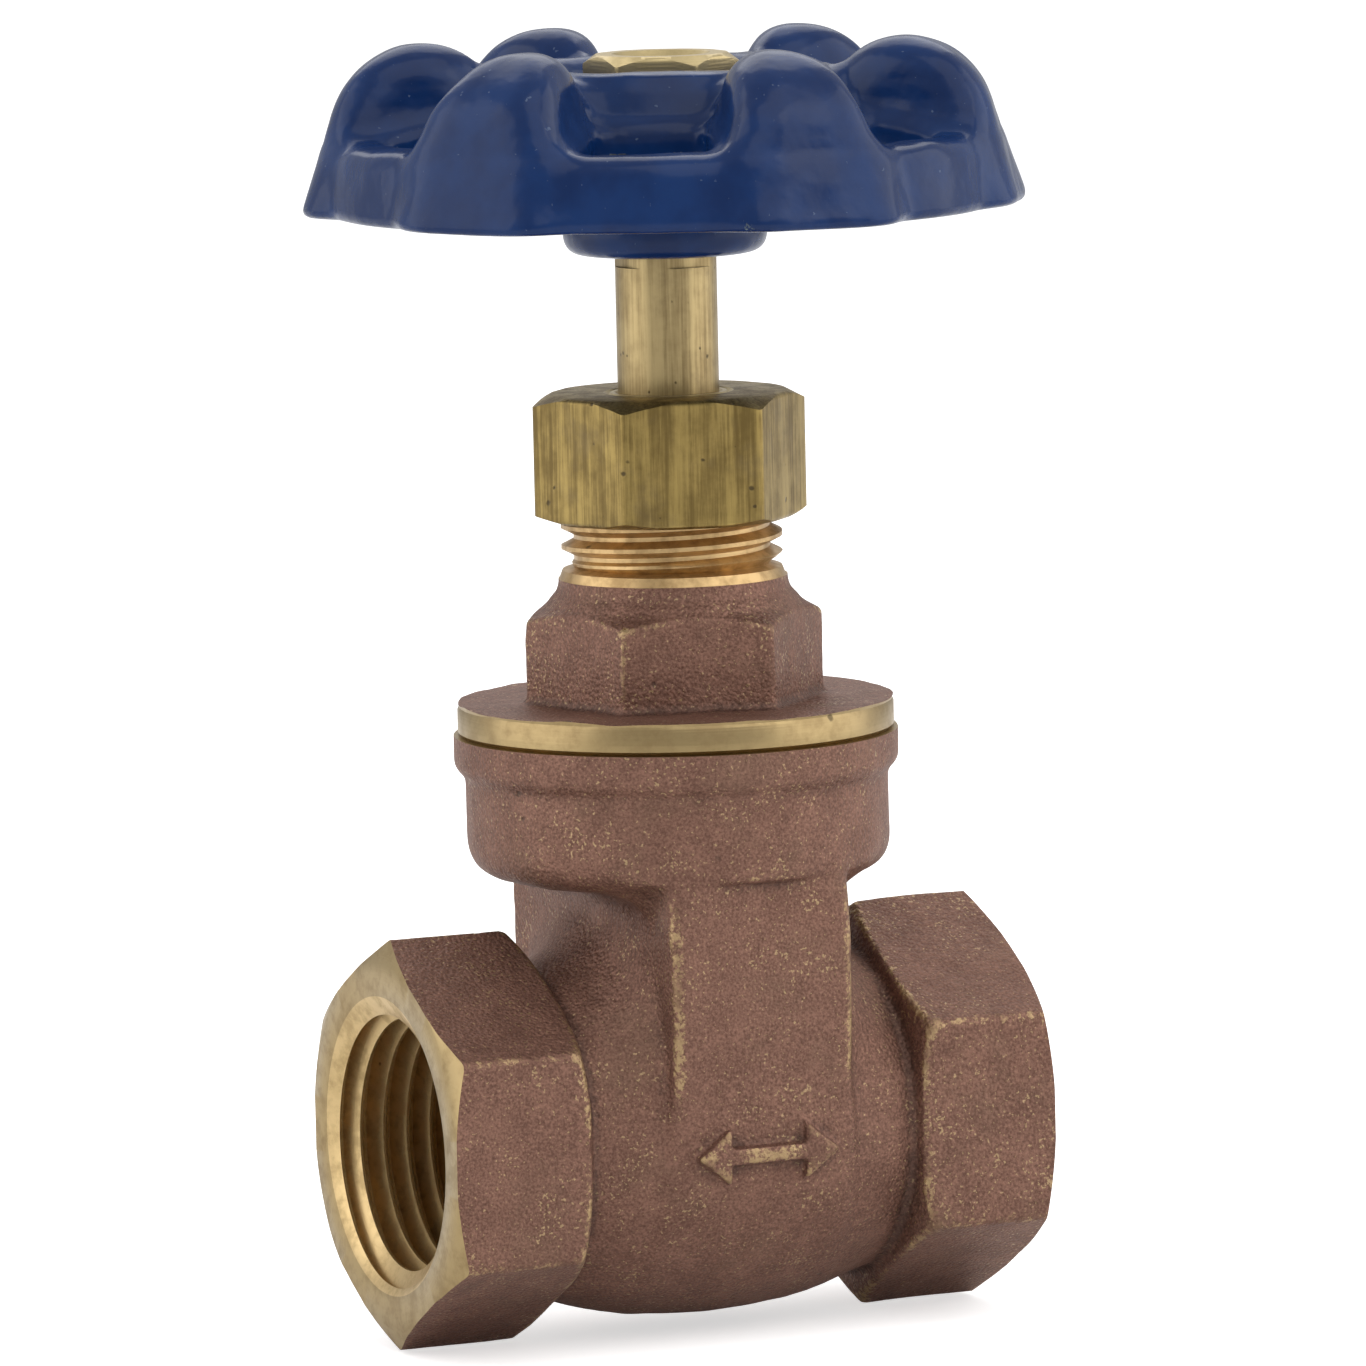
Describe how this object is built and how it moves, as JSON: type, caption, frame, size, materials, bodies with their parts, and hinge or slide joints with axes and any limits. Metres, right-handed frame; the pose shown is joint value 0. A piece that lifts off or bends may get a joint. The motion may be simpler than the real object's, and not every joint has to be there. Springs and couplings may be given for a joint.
{
  "type": "gate valve",
  "caption": "Screwed-bonnet gate valve with female threaded hexagon ends, a non-rising stem, a packing nut and a lobed blue handwheel.",
  "frame": {"origin": "where the pipe axis crosses the stem axis, at the centre of the closed gate", "axes": "+X along the pipe towards the outlet end, -Y the side with the flow mark, +Z along the stem towards the handwheel"},
  "size_m": [0.0504, 0.052, 0.0937],
  "materials": {
    "cast_bronze": "sand-cast bronze skin, matte, with machined flange rim, end faces and threads left bright",
    "cast_bronze_gate": "cast bronze with lapped seating faces",
    "stem_brass": "turned brass, satin, lightly pitted",
    "turned_brass": "turned brass, bright",
    "nut_brass": "drawn hexagon bar, dull olive brass with lengthwise streaks",
    "blue_enamel": "thick gloss blue enamel dipped over a casting, with drips and small chips",
    "packing": "braided graphite packing",
    "gasket": "pressed fibre sheet"
  },
  "bodies": {
    "valve_body": {"body": "cast_bronze", "bonnet": "cast_bronze", "bonnet_gasket": "gasket", "stem_retaining_ring": "turned_brass", "packing_washer": "turned_brass", "packing_ring_lower": "packing", "packing_ring_middle": "packing", "packing_ring_upper": "packing"},
    "spindle": {"stem": "stem_brass", "handwheel": "blue_enamel", "handwheel_nut": "turned_brass"},
    "gate": {"wedge": "cast_bronze_gate"},
    "gland": {"packing_gland": "turned_brass"},
    "nut": {"packing_nut": "nut_brass"}
  },
  "joints": [
    {"name": "handwheel_turn", "type": "hinge", "parent": "valve_body", "child": "spindle", "pos_m": [0, 0, 0.06], "axis": [0, 0, 1], "range_deg": [0, 2190]},
    {"name": "gate_lift", "type": "slide", "parent": "valve_body", "child": "gate", "axis": [0, 0, 1], "range_m": [0, 0.01522]},
    {"name": "gland_slide", "type": "slide", "parent": "valve_body", "child": "gland", "axis": [0, 0, 1], "range_m": [-0.00151, 0.00151], "deforming": ["packing_ring_lower", "packing_ring_middle", "packing_ring_upper"]},
    {"name": "packing_nut_turn", "type": "hinge", "parent": "gland", "child": "nut", "pos_m": [0, 0, 0.048], "axis": [0, 0, 1], "range_deg": [-360, 360]}
  ],
  "couplings": [
    {"joint": "gate_lift", "follows": "handwheel_turn", "m_per_rad": 0.00039789},
    {"joint": "gland_slide", "follows": "packing_nut_turn", "m_per_rad": 0.00023873}
  ]
}
